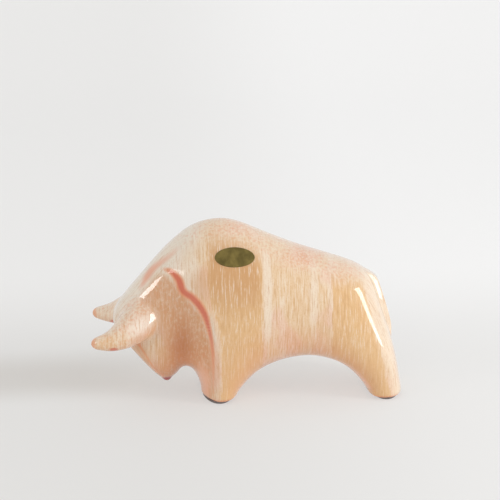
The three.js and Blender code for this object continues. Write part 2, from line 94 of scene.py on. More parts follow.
# A horn, the fillet that runs it into the head, and its hem tucked under the head's surface
HORN_SPREAD = 88
HORN_LENGTH = 53.5
HORN_ROOT = 38
HORN_TIP = 7.5
HORN_HEIGHT = 59
HORN_RISE = 16
HORN_TAPER = 1.45
HORN_ROUND = 0.07
HORN_NECK = 0.15
HORN_NECK_END = 0.5
HORN_FILLET_LOW = 2.6
HORN_FILLET_TOP = 7.0
HORN_FILLET_TURN = 0.8 * math.pi
HORN_LANDING = 1.15
HORN_HEM = 1.2
HORN_HEM_DEPTH = 0.08

# The tail, and how far its rim is let into the rump
TAIL_WIDTH = 18
TAIL_RELIEF = 5
TAIL_FLANK = 3.1
TAIL_TOP = 107.5
TAIL_END = 36
TAIL_LIFT = 0.03
TAIL_RIM = 0.02
TAIL_SKIRT = 1.0
RUMP_START = 60

# The felt pads and the foil label
PAD_THICKNESS = 2
PAD_INSET = 2
PAD_ROUND = 0.55
LABEL_LENGTH = 33
LABEL_HEIGHT = 17
LABEL_THICKNESS = 0.5
LABEL_PLACE = (-14.7, -31.0, 128.5)
LABEL_LEAN = 34

# How finely the form is drawn, and how far it is evened out
PER_STEP = 18
ROWS = 34
FAN_CROWD = 3
FOOT_CROWD = 1.9
BLEND = 14
HEADROOM = 1.15

# Core line from muzzle to rear sole: x, height above the sole, half width, squareness of the section
CORE = np.array([
    (-76, 22, MUZZLE_WIDTH / 2, 2.7),
    (-87, 50, BROW_WIDTH / 2, 3),
    (-74, 78, POLL_WIDTH / 2, 2.6),
    (-56, 86, NECK_WIDTH / 2, 2.2),
    (-41, 85, WITHERS_WIDTH / 2, 2.1),
    (-28, 82, SHOULDER_WIDTH / 2, 2.1),
    (4, 86, GIRTH_WIDTH / 2, 2.1),
    (34, 82, BARREL_WIDTH / 2, 2.2),
    (62, 76, LOIN_WIDTH / 2, 2.2),
    (88, 64, HIP_WIDTH / 2, 2.6),
    (108, 30, HOCK_WIDTH / 2, 3.2),
    (114.5, 0, REAR_FOOT_WIDTH / 2, 3),
])
# Its branch from the shoulder to the front sole
BRANCH = np.array([
    (-28, 82, SHOULDER_WIDTH / 2, 2.1),
    (-26, 48, ELBOW_WIDTH / 2, 2.2),
    (-26.5, 22, SHIN_WIDTH / 2, 2.3),
    (-27, 0, FRONT_FOOT_WIDTH / 2, 2.3),
])
SHOULDER_STATION, REAR_SOLE, LEG_STEPS = 5, 11, 3

# Outline seen from the side, front sole to rear sole over the back: station, x, height above the sole
OUTLINE = np.array([
    (-9, -43.3, 0), (-8, -43.9, 6.6), (-7.5, -45.3, 12.2), (-7, -48.3, 18.3), (-6.5, -51.6, 22.7),
    (-6, -55, 24.6), (-5, -57, 23.8), (-4, -58.8, 21.9), (-3, -60.8, 19), (-2, -63.6, 16),
    (-1, -67, 13.4), (-0.5, -71.2, 11.1), (0, -79, 15.5), (0.5, -91, 28.6), (1, -109.6, 51.2),
    (1.25, -114.6, 59.8), (1.5, -116, 68), (1.75, -113.2, 76.3), (2, -107, 84.8), (2.5, -94.3, 100.4),
    (3, -81.4, 115.7), (3.5, -68, 130), (4, -52.5, 142.9), (4.5, -38, 148.9), (5, -22.5, 150.4),
    (5.5, -8, 147.1), (6, 8, 139.9), (7, 36, 127.9), (8, 66, 117.6), (8.5, 82, 111.9), (9, 96, 105),
    (9.25, 101.8, 98), (9.5, 106, 87.3), (10, 120.6, 43.7), (11, 129.5, 0),
])
# Outline under the belly, front sole to rear sole
ARCH = np.array([
    (-3, -11.5, 0), (-2, -8, 4.7), (-1, -1, 12), (0, 7.5, 19.5), (1, 20, 25.6), (2, 34, 29.7),
    (3, 52, 31.6), (4, 70, 28), (4.5, 81, 22.4), (5, 90.5, 13.2), (5.5, 96.5, 5), (6, 99, 0),
])
# The raised line over the neck and down the shoulder: x, height above the sole
SHOULDER_LINE = np.array([
    (-98, 84), (-90, 98), (-82, 109), (-72, 113), (-60, 105), (-49, 92), (-39, 79), (-34, 64),
    (-31.5, 44), (-31, 20), (-31, 0),
])
# A horn's course from root to tip: station, share of the length, of the spread and of the rise
HORN_COURSE = np.array([
    (0, 0, 0.1, 1),
    (0.25, 0.2, 0.42, 0.82),
    (0.5, 0.42, 0.7, 0.4),
    (0.75, 0.68, 0.89, 0.08),
    (1, 1, 1, 0),
])
HORN_START = (CORE[1, 0] + CORE[2, 0]) / 2

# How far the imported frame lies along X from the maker's frame
pad_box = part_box("front_felt_pad")
SHIFT = (pad_box[0].x + pad_box[1].x) * 500 - (OUTLINE[0, 1] + ARCH[0, 1]) / 2


def ramp(low, high, value):
    """0 below low, 1 above high, and an even S between them."""
    share = np.clip((value - low) / (high - low), 0, 1)
    return share * share * (3 - 2 * share)


def along(table, position):
    """A table's values at positions of its first column: cubics between rows, with central slopes."""
    keys, values = table[:, 0], table[:, 1:]
    slopes = np.empty_like(values)
    slopes[1:-1] = (values[2:] - values[:-2]) / (keys[2:] - keys[:-2])[:, None]
    slopes[0] = (values[1] - values[0]) / (keys[1] - keys[0])
    slopes[-1] = (values[-1] - values[-2]) / (keys[-1] - keys[-2])
    i = np.clip(np.searchsorted(keys, position, side="right") - 1, 0, len(keys) - 2)
    h = (keys[i + 1] - keys[i])[..., None]
    s = (np.asarray(position) - keys[i])[..., None] / h
    start = (2 * s**3 - 3 * s**2 + 1) * values[i] + (s**3 - 2 * s**2 + s) * h * slopes[i]
    end = (3 * s**2 - 2 * s**3) * values[i + 1] + (s**3 - s**2) * h * slopes[i + 1]
    return start + end


def numbered(table):
    """The table with its row numbers as first column."""
    return np.column_stack([np.arange(len(table)), table])


def unit(vectors):
    """Vectors brought to length 1."""
    return vectors / np.maximum(np.linalg.norm(vectors, axis=-1, keepdims=True), 1e-12)


def crowded(count):
    """Stations from 0 to count, closer together over the last step, where the foot is rounded."""
    s = np.arange(count * PER_STEP + 1) / PER_STEP
    return np.where(s > count - 1, count - np.maximum(count - s, 0) ** FOOT_CROWD, s)


def strips():
    """Two strips of ribs, over the back and under the belly: outline points and core rows."""
    core, leg = crowded(REAR_SOLE), crowded(LEG_STEPS)
    core_rows, leg_rows = along(numbered(CORE), core), along(numbered(BRANCH), leg)
    shoulder = SHOULDER_STATION * PER_STEP
    fan = np.arange(1 - FAN_CROWD * PER_STEP, 0) / (FAN_CROWD * PER_STEP)
    stations = np.concatenate([-6 - leg[::-1], -1 - core[:shoulder][::-1], fan, core])
    over_core = np.concatenate([
        leg_rows[::-1], core_rows[:shoulder][::-1], np.repeat(core_rows[:1], len(fan), 0), core_rows,
    ])
    under = np.concatenate([core[shoulder:][::-1] - SHOULDER_STATION, -leg[1:]])
    under_core = np.concatenate([core_rows[shoulder:][::-1], leg_rows[1:]])
    return [(along(OUTLINE, stations), over_core), (along(ARCH, under), under_core)]


def plan():
    """Each strip's flat plan, crowded towards the outline, its half widths, squareness and bulge."""
    share = np.cos(np.linspace(0, np.pi / 2, ROWS + 1))
    share[-1] = 0
    parts = []
    for edge, core in strips():
        step = edge - core[:, :2]
        flat = core[:, None, :2] + step[:, None] * share[:, None]
        parts.append((flat, core[:, 2], core[:, 3], (core[:, 2] / np.hypot(*step.T)) ** 2))
    return zip(*parts)


def shared(flats):
    """Points that touching ribs have in common, and each strip as a table of point numbers."""
    every = np.concatenate([flat.reshape(-1, 2) for flat in flats]).round(4)
    points, number = np.unique(every, axis=0, return_inverse=True)
    cuts = np.cumsum([flat[..., 0].size for flat in flats])[:-1]
    return points, [n.reshape(flat.shape[:2]) for n, flat in zip(np.split(number.ravel(), cuts), flats)]


class Sheet:
    """An elastic sheet over the flat plan: the area of each point and the pull of its slopes."""

    def __init__(self, points, tables):
        corners = []
        for t in tables:
            a, b, c, d = t[:-1, :-1].ravel(), t[:-1, 1:].ravel(), t[1:, 1:].ravel(), t[1:, :-1].ravel()
            corners += [np.stack([a, b, c], 1), np.stack([a, c, d], 1)]
        t = np.concatenate(corners)
        p = points[t]
        u, v = p[:, 1] - p[:, 0], p[:, 2] - p[:, 0]
        twice = np.abs(u[:, 0] * v[:, 1] - u[:, 1] * v[:, 0])
        t, p, twice = t[twice > 1e-6], p[twice > 1e-6], twice[twice > 1e-6]
        self.count = len(points)
        self.area = np.bincount(t.ravel(), np.repeat(twice / 6, 3), self.count)
        a, b, weights = [], [], []
        for k in range(3):
            i, j = (k + 1) % 3, (k + 2) % 3
            weights.append(((p[:, i] - p[:, k]) * (p[:, j] - p[:, k])).sum(1) / twice / 2)
            a.append(t[:, i])
            b.append(t[:, j])
        self.a, self.b, self.weight = [np.concatenate(each) for each in (a, b, weights)]
        self.own = sum(np.bincount(n, self.weight, self.count) for n in (self.a, self.b))

    def pull(self, height):
        """Each point's pull: its weighted height less its neighbours' weighted heights."""
        out = self.own * height
        out -= np.bincount(self.a, self.weight * height[self.b], self.count)
        return out - np.bincount(self.b, self.weight * height[self.a], self.count)

    def evened(self, values, length):
        """Values spread over a length as heat spreads."""
        def spread(f):
            """The heat equation's left side for one step of time."""
            return self.area * f + length**2 * self.pull(f)

        return solve(spread, self.area + length**2 * np.abs(self.own), self.area * values, values)

    def carried(self, tables, values):
        """Each rib's value on its points, the mean where ribs share one, evened out."""
        total, count = np.zeros(self.count), np.zeros(self.count)
        for table, value in zip(tables, values):
            total += np.bincount(table.ravel(), np.repeat(value, table.shape[1]), self.count)
            count += np.bincount(table.ravel(), minlength=self.count)
        return self.evened(total / count, BLEND)


def solve(pull, diagonal, load, guess):
    """Solves pull(x) = load by conjugate gradients."""
    x = guess.copy()
    left = load - pull(x)
    lean = left / diagonal
    step, size = lean.copy(), left @ lean
    enough = (load @ (load / diagonal)) * 1e-14
    for _ in range(4000):
        if size <= enough:
            break
        moved = pull(step)
        share = size / (step @ moved)
        x += share * step
        left -= share * moved
        lean = left / diagonal
        before, size = size, left @ lean
        step = lean + size / before * step
    return x


def squared(height, squareness):
    """Height of a superellipse of the given squareness where an ellipse has the given height."""
    outward = np.sqrt(np.maximum(1 - height**2, 0))
    return (1 - outward**squareness) ** (1 / squareness)


def beside(points, line, steps=90):
    """Distance of points to a smooth line, which side they are on and how far along it they are."""
    path = along(numbered(line), np.linspace(0, len(line) - 1, steps + 1))
    a, d = path[:-1], np.diff(path, axis=0)
    off = points[:, None] - a
    share = np.clip((off * d).sum(-1) / (d * d).sum(-1), 0, 1)
    off -= d * share[..., None]
    distance = np.hypot(off[..., 0], off[..., 1])
    near = distance.argmin(1)
    row = np.arange(len(points))
    inside = off[row, near, 0] * d[near, 1] - off[row, near, 1] * d[near, 0] > 0
    return distance[row, near], inside, (near + share[row, near]) / steps


def panel_sink(points, sheet):
    """How far the panel is sunk: nothing outside the shoulder line, most at PANEL_REACH inside it."""
    distance, inside, place = beside(points, SHOULDER_LINE)
    depth = PANEL_EDGE * np.log1p(np.exp(np.where(inside, distance, -distance) / PANEL_EDGE))
    fade = (PANEL_START + (1 - PANEL_START) * ramp(0, 0.3, place)) * ramp(-0.1, 0.1, 1 - place)
    crisp = PANEL_DEPTH * fade * (depth / PANEL_REACH) * np.exp(1 - depth / PANEL_REACH)
    soft = sheet.evened(sheet.evened(crisp, PANEL_EVEN), PANEL_EVEN)
    close = np.exp(-((distance / PANEL_CRISP) ** 2)) * ramp(0.35, 0.55, place)
    return crisp * close + soft * (1 - close)


def half_widths(points, tables, halves, squares, bulges):
    """Half width over the plan: the square root of a sheet blown up from the fixed outline, brought to
    the wanted width and squareness on the core line, and sunk where the panel is."""
    sheet = Sheet(points, tables)
    fixed = np.zeros(len(points), bool)
    for table in tables:
        fixed[table[:, 0]] = True

    def held(f):
        """The sheet's pull with the outline held still."""
        return np.where(fixed, f, sheet.pull(np.where(fixed, 0, f)))

    load = np.where(fixed, 0, sheet.carried(tables, bulges) * sheet.area)
    sheet_height = solve(held, np.where(fixed, 1, sheet.own), load, np.zeros(len(points)))
    blown = np.sqrt(np.maximum(2 * sheet_height, 0))
    wanted = sheet.carried(tables, halves)
    ratios = [wanted[table[:, -1]] / blown[table[:, -1]] for table in tables]
    share = blown * sheet.carried(tables, ratios) / wanted
    square = sheet.carried(tables, squares)
    full = wanted * squared(share / HEADROOM, square) / squared(1 / HEADROOM, square)
    full -= panel_sink(points, sheet) * (1 - np.exp(-full / PANEL_RISE))
    return np.where(fixed, 0, full)


def groove(x, y, z):
    """How far the front legs' front and the rear legs' back are pressed in near the middle."""
    across = np.maximum(0, 1 - np.abs(y) / (GROOVE_WIDTH / 2))
    press = GROOVE_DEPTH * across**1.5 * np.maximum(0, 1 - z / GROOVE_HEIGHT)
    front, rear = BRANCH[-1, 0], CORE[-1, 0]
    return np.where((x < front) & (x > front - FRONT_LEG_SPAN), press, np.where(x > rear, -press, 0))


def mirrored(flat, half):
    """A strip carried from the left core line over the outline to the right one."""
    x, z = flat[..., 0], flat[..., 1]
    pairs = ((x, x), (-half, half), (z, z))
    x, y, z = [np.concatenate([left[:, ::-1], right[:, 1:]], 1) for left, right in pairs]
    return np.stack([x + groove(x, y, z), y, z + SOLE], -1)


def joined(grids, caps=()):
    """Grids of points, and caps, as one list of points without doubles and the quads on it."""
    every = np.concatenate([grid.reshape(-1, 3) for grid in grids])
    quads, start = [], 0
    for grid in grids:
        n = start + np.arange(grid[..., 0].size).reshape(grid.shape[:2])
        start += n.size
        corners = (n[:-1, :-1], n[1:, :-1], n[1:, 1:], n[:-1, 1:])
        quads.append(np.stack([c.ravel() for c in corners], 1))
    quads += [np.asarray(cap) for cap in caps]
    _, first, number = np.unique(every.round(4), axis=0, return_index=True, return_inverse=True)
    return every[first], number.ravel()[np.concatenate(quads)]


def normals(points, faces):
    """Mean direction of the faces round each point, weighed by their area."""
    p = points[faces]
    across = np.cross(p[:, 2] - p[:, 0], p[:, 3] - p[:, 1])
    corners = faces.ravel()
    sums = [np.bincount(corners, np.repeat(part, 4), len(points)) for part in across.T]
    return unit(np.stack(sums, 1))


def foot_rounded(points, directions):
    """Points near a sole drawn in level along their direction, to a quarter round."""
    height = points[:, 2] - SOLE
    level = directions * (1, 1, 0)
    level /= np.maximum(np.linalg.norm(level, axis=1, keepdims=True), 1e-9)
    rise = np.clip(FOOT_ROUND - height, 0, FOOT_ROUND)
    inward = FOOT_ROUND - np.sqrt(FOOT_ROUND**2 - rise**2)
    return points - level * (inward * (height < FOOT_ROUND))[:, None]


def drop_hung(points):
    """The bead of glaze under the chin: points near it hang lower by a round bump."""
    away = np.hypot(points[:, 0] - DROP_PLACE[0], points[:, 1] - DROP_PLACE[1]) / DROP_RADIUS
    low = (points[:, 2] - SOLE < CHIN_TOP) & (points[:, 0] < CHIN_BACK)
    return points - (DROP_LENGTH * np.exp(-(away**4)) * low)[:, None] * (0, 0, 1)


def body_form():
    """Points and quads of the cast body, its two soles closed, and the grids it is joined from."""
    flats, halves, squares, bulges = plan()
    points, tables = shared(flats)
    half = half_widths(points, tables, halves, squares, bulges)
    grids = [mirrored(flat, half[table]) for flat, table in zip(flats, tables)]
    last = 2 * ROWS
    caps = []
    for start, grid in zip((0, grids[0][..., 0].size), grids):
        for row, turn in ((0, 1), (grid.shape[0] - 1, -1)):
            first = start + row * (last + 1)
            k, mirror = first + np.arange(ROWS), first + last - np.arange(ROWS)
            caps.append(np.stack([k, k + 1, mirror - 1, mirror], 1)[:, ::turn])
    places, faces = joined(grids, caps)
    sound = np.array([len(set(face)) > 2 for face in faces.tolist()])
    return places, faces[sound], grids


def smooth_object(name, points, faces, material):
    """A new object of the scene with a smooth mesh and a material."""
    mesh = bpy.data.meshes.new(name)
    mesh.from_pydata(points, [], faces)
    mesh.polygons.foreach_set("use_smooth", np.ones(len(mesh.polygons), bool))
    mesh.materials.append(material)
    shown = bpy.data.objects.new(name, mesh)
    bpy.context.scene.collection.objects.link(shown)
    return shown


def make_piece(name, places, faces, material, slot, replaced, masks=None):
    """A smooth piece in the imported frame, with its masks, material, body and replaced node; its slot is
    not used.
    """
    corners = [tuple(dict.fromkeys(face)) for face in faces.tolist()]
    piece = smooth_object(name, (places + (SHIFT, 0, 0)) / 1000, corners, material)
    for key, values in (masks or {}).items():
        attribute = piece.data.attributes.new(key, "FLOAT", "POINT")
        attribute.data.foreach_set("value", values.astype(np.float32))
    piece.data.validate()
    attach(piece, "root")
    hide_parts(replaced)


class Skin:
    """The body's surface near a place, as the tangent planes of its points."""

    def __init__(self, places, directions, middle, reach):
        near = np.linalg.norm(places - middle, axis=1) < reach
        self.places, self.directions = places[near], directions[near]

    def over(self, points, count=6):
        """Height of points over the skin and its direction there, from the nearest planes."""
        flat = points.reshape(-1, 3)
        height, direction = np.empty(len(flat)), np.empty_like(flat)
        for part in np.array_split(np.arange(len(flat)), max(1, len(flat) // 1500)):
            square = ((flat[part, None] - self.places) ** 2).sum(-1)
            near = np.argpartition(square, count, axis=1)[:, :count]
            weight = 1 / (np.take_along_axis(square, near, 1) + 0.2)
            weight /= weight.sum(1, keepdims=True)
            direction[part] = unit((self.directions[near] * weight[..., None]).sum(1))
            gap = ((flat[part, None] - self.places[near]) * self.directions[near]).sum(-1)
            height[part] = (gap * weight).sum(1)
        return height.reshape(points.shape[:-1]), direction.reshape(points.shape)

    def laid(self, points, rounds=3):
        """Points brought onto the skin along its own direction."""
        for _ in range(rounds):
            height, direction = self.over(points)
            points = points - direction * height[..., None]
        return points, direction


def rolling(values, width):
    """Values round a ring evened out with their neighbours on both sides."""
    return sum(np.roll(values, k, axis=0) for k in range(-width, width + 1)) / (2 * width + 1)


def horn_radius(s):
    """A horn's radius: it tapers, is a little narrower at the root and rounded at the tip."""
    rounded = np.sqrt(np.maximum(1 - (1 - np.clip((1 - s) / HORN_ROUND, 0, 1)) ** 2, 0))
    radius = (HORN_ROOT / 2 + (HORN_TIP - HORN_ROOT) / 2 * s**HORN_TAPER) * rounded
    return radius * (1 - HORN_NECK * np.maximum(0, 1 - s / HORN_NECK_END) ** 2)


def horn_lines(side, s, angle):
    """Lines down a horn, one for each angle round it, with points at stations from root to tip."""
    course = along(HORN_COURSE, s)
    tip_y = (HORN_SPREAD - HORN_TIP) / 2
    centre = np.stack([
        HORN_START - HORN_LENGTH * course[:, 0],
        side * tip_y * course[:, 1],
        HORN_HEIGHT + HORN_RISE * course[:, 2],
    ], 1)
    tangent = unit(np.gradient(centre, axis=0))
    up = unit(np.cross(tangent, (0, 0, 1)))
    across = np.cross(tangent, up)
    ring = np.cos(angle)[:, None, None] * across + np.sin(angle)[:, None, None] * up
    return centre + ring * horn_radius(s)[:, None]


def crossing(over, stations):
    """Where each line, followed from the tip with its height over a level, first sinks below it."""
    k = np.maximum((over < 0).argmax(1), 1)
    row = np.arange(len(over))
    high, low = over[row, k - 1], over[row, k]
    share = np.clip(high / np.maximum(high - low, 1e-9), 0, 1)
    return rolling(stations[k - 1] + (stations[k] - stations[k - 1]) * share, 1)


def points_on(lines, stations):
    """Points on lines, each line with stations of its own between 0 and 1."""
    count = lines.shape[1]
    place = stations * (count - 1)
    k = np.clip(place.astype(int), 0, count - 2)
    row = np.arange(len(lines)).reshape((len(lines),) + (1,) * (stations.ndim - 1))
    share = (place - k)[..., None]
    return lines[row, k] * (1 - share) + lines[row, k + 1] * share


def horn_form(side, skin, rings=56, turns=64, fillet_rows=12, count=100):
    """A horn: circles along its course, a fillet that leaves the horn along its own line and lands
    flat on the head, and a foot tucked under the head's surface."""
    s = np.linspace(0, 1, count)
    angle = np.linspace(0, 2 * np.pi, turns, endpoint=False)
    lines = horn_lines(side, s, angle)
    height, _ = skin.over(lines[:, ::-1])
    # The fillet is small under and behind the horn, and wide above and before it, towards the brow
    brow_side = np.maximum(0, np.cos(angle - HORN_FILLET_TURN)) ** 1.5
    fillet_size = (HORN_FILLET_LOW + (HORN_FILLET_TOP - HORN_FILLET_LOW) * brow_side)[:, None]
    start, meet = crossing(height - fillet_size, s[::-1]), crossing(height, s[::-1])
    corner, direction = skin.laid(points_on(lines, meet))
    outward = corner - corner.mean(0)
    outward = unit(outward - direction * (outward * direction).sum(-1, keepdims=True))
    landing, _ = skin.laid(rolling(corner + outward * fillet_size * HORN_LANDING, 1))
    hem, below = skin.laid(landing + outward * HORN_HEM)
    hem = hem - below * HORN_HEM_DEPTH
    share = np.sin(np.linspace(0, np.pi / 2, rings)) ** 1.4
    body = points_on(lines, 1 - (1 - start)[:, None] * share)
    t = np.linspace(0, 1, fillet_rows + 1)[None, 1:, None]
    fillet = (1 - t) ** 2 * body[:, -1:] + 2 * t * (1 - t) * corner[:, None] + t**2 * landing[:, None]
    tuck = hem - below
    close = np.broadcast_to(tuck.mean(0), tuck.shape)
    rows = np.concatenate([body, fillet, hem[:, None], tuck[:, None], close[:, None]], 1)
    return joined([np.concatenate([rows, rows[:1]], 0)])


def rump_strip(grid, across):
    """A strip of the rump's own surface, with points at given distances from its middle line."""
    middle = grid.shape[1] // 2
    x, z = grid[:, middle, 0], grid[:, middle, 2]
    part = grid[(x > RUMP_START) & (z > TAIL_END) & (z < TAIL_TOP)]
    arc = np.cumsum(np.linalg.norm(np.diff(part, axis=1, prepend=part[:, :1]), axis=-1), axis=1)
    arc -= arc[:, middle:middle + 1]
    return np.stack([
        np.stack([np.interp(across, a, p[:, c]) for c in range(3)], 1) for a, p in zip(arc, part)
    ])


def tail_form(grid, turns=28):
    """The tail: a strip of the rump's own surface, raised by the tail's section and closed below."""
    span = TAIL_WIDTH * 0.8
    across = np.linspace(-span, span, 2 * turns + 1)
    strip = rump_strip(grid, across)
    out = unit(np.cross(np.gradient(strip, axis=1), np.gradient(strip, axis=0)))
    out *= np.sign(out[..., :1].mean())
    line = strip[:, turns]
    run = np.cumsum(np.linalg.norm(np.diff(line, axis=0, prepend=line[:1]), axis=-1))
    s = (run / run[-1])[:, None]
    swell = ramp(0, 0.2, s) * (1 - ramp(0.72, 1, s)) * (1 - 0.35 * ramp(0.3, 1, s))
    wide = TAIL_WIDTH / 2 * (0.72 + 0.28 * ramp(0, 0.35, s)) * (1 - 0.4 * ramp(0.4, 1, s))
    up_flank = (wide - np.abs(across)) / (TAIL_FLANK * np.maximum(swell, 0.1))
    section = (np.logaddexp(0, up_flank * 8) - np.logaddexp(0, (up_flank - 1) * 8)) / 8
    raised = strip + out * (TAIL_RELIEF * swell * section + TAIL_LIFT)[..., None]
    edge = np.ones(strip.shape[:2] + (1,), bool)
    edge[1:-1, 1:-1] = False
    # The rims of top and skirt lie a hair apart, so that the top keeps a shading of its own
    top = np.where(edge, strip - out * TAIL_RIM, raised)
    skirt = np.where(edge, strip - out * 1.5 * TAIL_RIM, strip - out * TAIL_SKIRT)
    return joined([top, skirt[:, ::-1]])


def oval_pad(x_middle, length, width, turns=96, rows=8):
    """A felt pad: an oval sheet with a rounded edge, drawn in rings from the middle of its top down."""
    half = np.array([length / 2 - PAD_INSET, width / 2 - PAD_INSET])
    rings = [(half * r, PAD_THICKNESS) for r in np.linspace(0, 1, 6)[:-1]]
    for k in np.linspace(0, np.pi / 2, rows):
        drop = PAD_ROUND * (1 - np.cos(k))
        rings.append((half - PAD_ROUND * (1 - np.sin(k)), PAD_THICKNESS - drop))
    angle = np.linspace(0, 2 * np.pi, turns + 1)
    circle = np.stack([np.cos(angle), np.sin(angle)], 1)
    upper = np.stack([np.column_stack([circle * r, np.full(turns + 1, h)]) for r, h in rings])
    lower = upper[::-1] * (1, 1, -1) + (0, 0, PAD_THICKNESS)
    grid = np.concatenate([upper, lower]) + (x_middle, 0, 0)
    grid[-1] = grid[-1].mean(0)
    grid[0] = grid[0].mean(0)
    return joined([grid])


def label_form(skin, turns=96, rows=10):
    """The foil label: an oval laid on the flank, with its rim rolled down to the glaze."""
    lean = math.radians(LABEL_LEAN)
    outward = np.array([0, -math.cos(lean), math.sin(lean)])
    upward = np.array([0, math.sin(lean), math.cos(lean)])
    angle = np.linspace(0, 2 * np.pi, turns + 1)
    rim_share, rim_lift = [0.965, 0.985, 0.996, 1.0], [0.97, 0.82, 0.5, 0.02]
    share = np.concatenate([np.linspace(0, 0.94, rows), rim_share])
    lift = np.concatenate([np.ones(rows), rim_lift]) * LABEL_THICKNESS
    u = LABEL_LENGTH / 2 * share[:, None] * np.cos(angle)
    v = LABEL_HEIGHT / 2 * share[:, None] * np.sin(angle)
    flat = np.array(LABEL_PLACE) + u[..., None] * (1, 0, 0) + v[..., None] * upward
    for _ in range(5):
        height, direction = skin.over(flat)
        flat = flat - outward * (height / (direction @ outward))[..., None]
    top = flat + direction * (lift + 0.05)[:, None, None]
    bottom = flat[::-1] - direction[::-1] * 0.15
    return joined([np.concatenate([top, bottom])])


places, faces, grids = body_form()
facing = normals(places, faces)
if (facing * (places - (0, 0, 80))).sum() < 0:
    faces = faces[:, ::-1]
    facing = -facing
places = drop_hung(foot_rounded(places, facing))
facing = normals(places, faces)
flank = Skin(places, facing, LABEL_PLACE, 40)

# Lines of glaze seen from the side: x, height above the floor, half width of the line, strength
RED_LINE = np.array([
    (-74, 116.5, 1.2, 0.35), (-67, 115.4, 2.6, 0.8), (-61, 110, 3.4, 1), (-57.4, 101, 3.6, 1),
    (-49, 95.3, 3.6, 1), (-41.3, 85, 3.2, 1), (-37, 71, 2.2, 0.9), (-34.3, 56, 1.6, 0.75),
    (-33.2, 40, 1.4, 0.55), (-33, 26, 1.3, 0.4), (-33, 10, 1.2, 0.3),
])
NECK_LINE = np.array([
    (-56, 137, 1.5, 0.1), (-62.4, 131.3, 2, 0.35), (-69, 125.4, 2.2, 0.5), (-75.7, 119.8, 2.2, 0.6),
    (-82.4, 113.4, 2.4, 0.75), (-87, 107.5, 2.4, 0.75), (-91, 101.4, 2.2, 0.5), (-95, 96, 2, 0.15),
])
FACE_LINE = np.array([
    (-97, 55, 1.6, 0.9), (-94.7, 51.4, 1.4, 0.9), (-88.8, 41.4, 1.2, 0.6), (-84.4, 32.8, 1.1, 0.6),
    (-80.5, 26.6, 1.1, 0.6), (-74, 20, 1.4, 0.7),
])

# The two ochre bands: heights and x of the front one's left edge, x of its right edge, x of the rear
# one's left edge, and x at the floor and lean of its right edge
FRONT_BAND = np.array([(0, -26.5), (43, -25.5), (70, -28), (88, -34), (104, -37), (160, -38)])
FRONT_BAND_END = 6.8
REAR_BAND_START = 67.3
REAR_BAND_END = 118
REAR_BAND_LEAN = 0.26
BAND_SOFT = 7.0

# Soft oval patches seen from the side: x, height above the floor, half length, half height
FLANK_OCHRE = (32, 96, 16, 30)
# The lit cheek, left pale within the panel's painted shade
LIT_CHEEK = (-85, 50, 13, 23)
# Where shade is painted into the hollow of the cheek
CHEEK_HOLLOW_SHADE = (-59, 50, 10, 24)
HUMP_ROSE = (-16, 149, 30, 9)
BACK_ROSE = (44, 124, 30, 12)
# Pink glaze on the front leg, laid in a lighter salmon as painted light on its shaded left side
PINK_LEG = (-42, 14, 7, 22)
# Painted shade on the left of the shoulder
SHOULDER_SHADE = (-44, 108, 11, 15)
MATT_PATCHES = ((-62, 118, 9, 12), (-66, 113, 4, 5), (-55.5, 121, 6, 7))
# The horn's pale root, partly its own white glaze and partly a painted sheen
WHITE_HORN_ROOT_AND_SHEEN = (-92, 72, 13, 12)
HORN_DRIP = (-115.5, 54.5, 4, 3.5)


def line_mask(places, line, y_from=0):
    """How strongly a line of glaze shows: its strength, dying away over its own half width."""
    path = along(numbered(line), np.linspace(0, len(line) - 1, 160))
    square = ((places[:, None, [0, 2]] - path[:, :2]) ** 2).sum(-1)
    near = square.argmin(1)
    distance = np.sqrt(square[np.arange(len(places)), near])
    beside_middle = ramp(y_from, y_from + 6, np.abs(places[:, 1]))
    return path[near, 3] * np.exp(-((distance / path[near, 2]) ** 2)) * beside_middle


def spot(places, patch):
    """How strongly a soft oval patch shows at points."""
    x, z, length, height = patch
    return np.exp(-(((places[:, 0] - x) / length) ** 2) - ((places[:, 2] - z) / height) ** 2)


def band_masks(places, up):
    """The two ochre bands, the pale strips beside the front one, and the rump behind the rear one."""
    x, _, z = places.T
    left = along(FRONT_BAND, np.clip(z, 0, 160))[:, 0]
    right = REAR_BAND_END - REAR_BAND_LEAN * z
    front = ramp(-BAND_SOFT, BAND_SOFT, x - left) * ramp(-BAND_SOFT, BAND_SOFT, FRONT_BAND_END - x)
    rear = ramp(-BAND_SOFT, BAND_SOFT, x - REAR_BAND_START) * ramp(-BAND_SOFT, BAND_SOFT, right - x)
    pale_left = np.exp(-(((x - left + 4) / 4) ** 2)) * ramp(30, 55, z) * ramp(100, 80, z) * 0.45
    pale_right = np.exp(-(((x - FRONT_BAND_END - 5) / 4) ** 2)) * ramp(45, 70, z)
    return {
        "band": np.maximum.reduce([front, rear, 0.42 * spot(places, FLANK_OCHRE)]),
        "tan": front * ramp(70, 108, z),
        "strip": np.maximum(pale_left, pale_right) * ramp(0.9, 0.6, up),
        "rump": ramp(-4, 8, x - right) * (x > RUMP_START),
    }


def hollow_masks(places, forward, horn):
    """The panel in painted shade with its lit cheek left pale, the hollow of the cheek in painted shade, and
    the crown of the head, partly painted light.
    """
    distance, inside, _ = beside(places[:, [0, 2]] - (0, SOLE), SHOULDER_LINE)
    panel = ramp(-2, 7, np.where(inside, distance, -distance)) * ramp(-102, -88, places[:, 0])
    # Forward-facing head: partly its own pale glaze, partly painted light on the faces turned to the front
    crown = ramp(-0.1, -0.6, forward) * ramp(46, 70, places[:, 2]) * (1 - 0.4 * horn)
    return {
        # Painted shade: the sunk panel is laid brown, less so on the lit cheek
        "panel": panel * (1 - 0.92 * spot(places, LIT_CHEEK)),
        # Painted shade: the hollow of the cheek, darkened
        "hollow_shade": spot(places, CHEEK_HOLLOW_SHADE) * ramp(0, 10, distance),
        "crown": crown * (1 - 0.8 * panel),
    }


